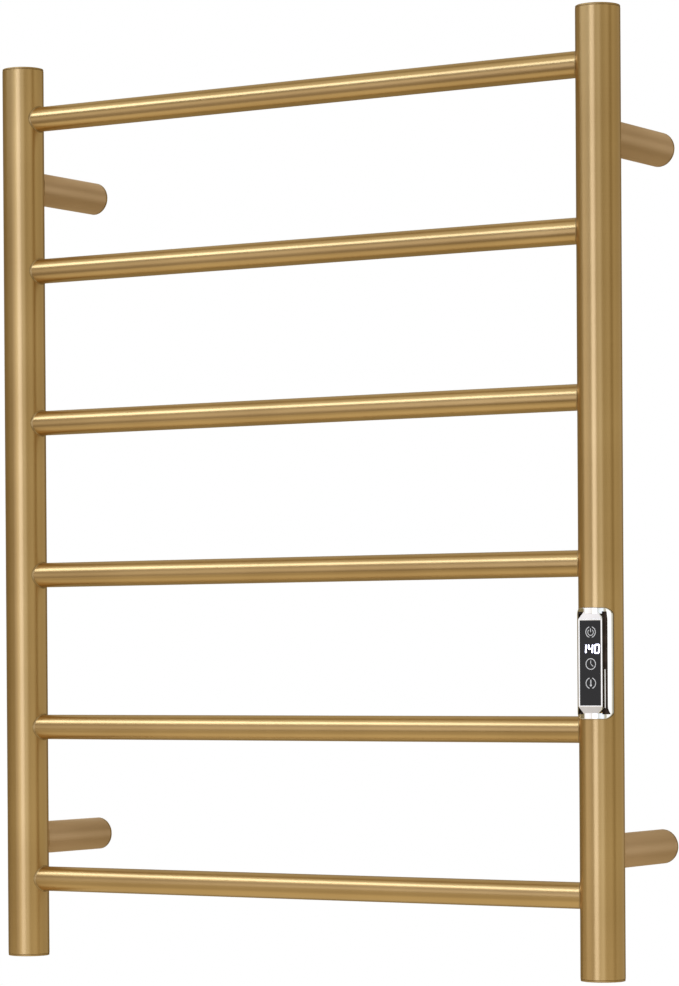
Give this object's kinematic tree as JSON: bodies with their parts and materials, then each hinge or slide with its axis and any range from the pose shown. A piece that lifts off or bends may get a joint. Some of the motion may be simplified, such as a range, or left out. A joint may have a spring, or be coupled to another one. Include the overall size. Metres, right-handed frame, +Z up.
{
  "type": "towel warmer rack",
  "caption": "Wall-mounted electric towel warmer: a ladder of round brushed-gold tubes between two posts on stand-offs, with a chromed touch control and lit display.",
  "frame": {"origin": "centre of the rectangle of four wall screws, on the wall plane", "axes": "+Z up, +Y into the wall, so the rack's front faces -Y, and +X to the right seen from the front"},
  "size_m": [0.532, 0.1148, 0.69],
  "materials": {
    "brushed_gold": "stainless tube with a brushed gold coating, grain along the tube",
    "chrome": "polished chrome plate",
    "black_glass": "gloss black window with white printed key rings",
    "black_silicone": "matte silicone seal",
    "zinc_steel": "zinc-plated steel",
    "circuit_board": "green solder mask",
    "brass_metal": "plain brass",
    "black_plastic": "moulded black plastic",
    "white_plastic": "moulded white plastic",
    "silicone_cable": "smooth red silicone sheath",
    "white_silicone": "smooth white silicone sheath",
    "earth_green": "green sheath"
  },
  "bodies": {
    "wall_bases": {"wall_base_bottom_left": "brushed_gold", "wall_base_bottom_right": "brushed_gold", "wall_base_top_left": "brushed_gold", "wall_base_top_right": "brushed_gold"},
    "rack": {"bar_1": "brushed_gold", "bar_2": "brushed_gold", "bar_3": "brushed_gold", "bar_4": "brushed_gold", "bar_5": "brushed_gold", "bar_6": "brushed_gold", "bar_welds": "brushed_gold", "board_pillars": "brass_metal", "capacitor": "black_plastic", "control_bezel": "chrome", "control_gasket": "black_silicone", "control_glass": "black_glass", "display_board": "circuit_board", "earth_lead": "earth_green", "earth_lug": "brass_metal", "earth_nut": "zinc_steel", "earth_stud": "zinc_steel", "element_connector": "white_plastic", "element_leads": "white_silicone", "element_splice": "black_plastic", "fuse": "white_plastic", "heating_cable": "silicone_cable", "led_display": "black_plastic", "left_post": "brushed_gold", "left_post_bottom_cap": "brushed_gold", "left_post_top_cap": "brushed_gold", "mains_lead": "white_silicone", "power_board": "circuit_board", "relay": "black_plastic", "right_post": "brushed_gold", "right_post_bottom_cap": "brushed_gold", "right_post_top_cap": "brushed_gold", "sensor_lead": "white_silicone", "sensor_plug": "white_plastic", "sensor_probe": "black_plastic", "standoff_bottom_left": "brushed_gold", "standoff_bottom_right": "brushed_gold", "standoff_top_left": "brushed_gold", "standoff_top_right": "brushed_gold", "standoff_welds": "brushed_gold", "terminal_block": "white_plastic", "thermal_cutout": "black_plastic", "touch_controller": "black_plastic", "touch_springs": "brass_metal", "transformer": "black_plastic"},
    "grub_screw_bottom_left_body": {"grub_screw_bottom_left": "zinc_steel"},
    "grub_screw_bottom_right_body": {"grub_screw_bottom_right": "zinc_steel"},
    "grub_screw_top_left_body": {"grub_screw_top_left": "zinc_steel"},
    "grub_screw_top_right_body": {"grub_screw_top_right": "zinc_steel"}
  },
  "joints": [
    {"name": "rack_lift_off", "type": "slide", "parent": "wall_bases", "child": "rack", "axis": [0, -1, 0], "range_m": [0, 0.03]},
    {"name": "grub_screw_bottom_left_travel", "type": "slide", "parent": "rack", "child": "grub_screw_bottom_left_body", "axis": [0, 0, -1], "range_m": [0, 0.004]},
    {"name": "grub_screw_bottom_right_travel", "type": "slide", "parent": "rack", "child": "grub_screw_bottom_right_body", "axis": [0, 0, -1], "range_m": [0, 0.004]},
    {"name": "grub_screw_top_left_travel", "type": "slide", "parent": "rack", "child": "grub_screw_top_left_body", "axis": [0, 0, -1], "range_m": [0, 0.004]},
    {"name": "grub_screw_top_right_travel", "type": "slide", "parent": "rack", "child": "grub_screw_top_right_body", "axis": [0, 0, -1], "range_m": [0, 0.004]}
  ]
}
